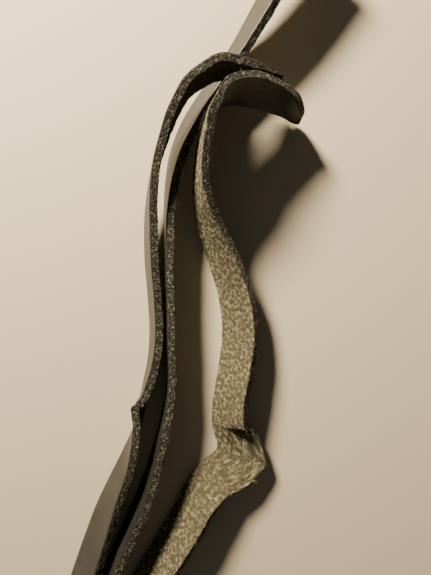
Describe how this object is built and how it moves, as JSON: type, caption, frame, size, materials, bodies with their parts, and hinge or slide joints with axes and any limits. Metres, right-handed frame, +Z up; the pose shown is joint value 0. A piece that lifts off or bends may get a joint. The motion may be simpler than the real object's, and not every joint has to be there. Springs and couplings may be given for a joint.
{
  "type": "leather strop",
  "caption": "Bundle of narrow leather strop strips standing on edge, two hooked over one and creased, for honing and polishing carving edges.",
  "frame": {"origin": "middle of the bundle's footprint, on the surface it stands on", "axes": "+Z up from the bench, +Y along the strips towards the hooks, +X towards the open side of the hooks"},
  "size_m": [0.1004, 0.2642, 0.0336],
  "materials": {
    "under_strip": "smooth dyed grain side, raw fibrous flesh side",
    "outer_strip": "smooth dyed grain side, raw fibrous flesh side",
    "inner_strip": "smooth dyed grain side, raw fibrous flesh side"
  },
  "bodies": {
    "under_strip": {"under_strip": "under_strip"},
    "outer_strip_hook": {"outer_strip_hook": "outer_strip"},
    "outer_strip_tail": {"outer_strip_tail": "outer_strip"},
    "inner_strip_hook": {"inner_strip_hook": "inner_strip"},
    "inner_strip_tail": {"inner_strip_tail": "inner_strip"}
  },
  "joints": [
    {"name": "outer_strip_lift", "type": "slide", "parent": "under_strip", "child": "outer_strip_hook", "axis": [0, 0, 1], "range_m": [0, 0.04]},
    {"name": "inner_strip_lift", "type": "slide", "parent": "outer_strip_hook", "child": "inner_strip_hook", "axis": [0, 0, 1], "range_m": [0, 0.04]},
    {"name": "outer_crease_fold", "type": "hinge", "parent": "outer_strip_hook", "child": "outer_strip_tail", "pos_m": [-0.02159, -0.0522, 0.00006], "axis": [-0.1018, 0.0235, -0.9945], "range_deg": [0, 25]},
    {"name": "inner_crease_fold", "type": "hinge", "parent": "inner_strip_hook", "child": "inner_strip_tail", "pos_m": [0.00951, -0.06978, 0.0027], "axis": [-0.9576, 0.2299, -0.1736], "range_deg": [0, 50]}
  ]
}
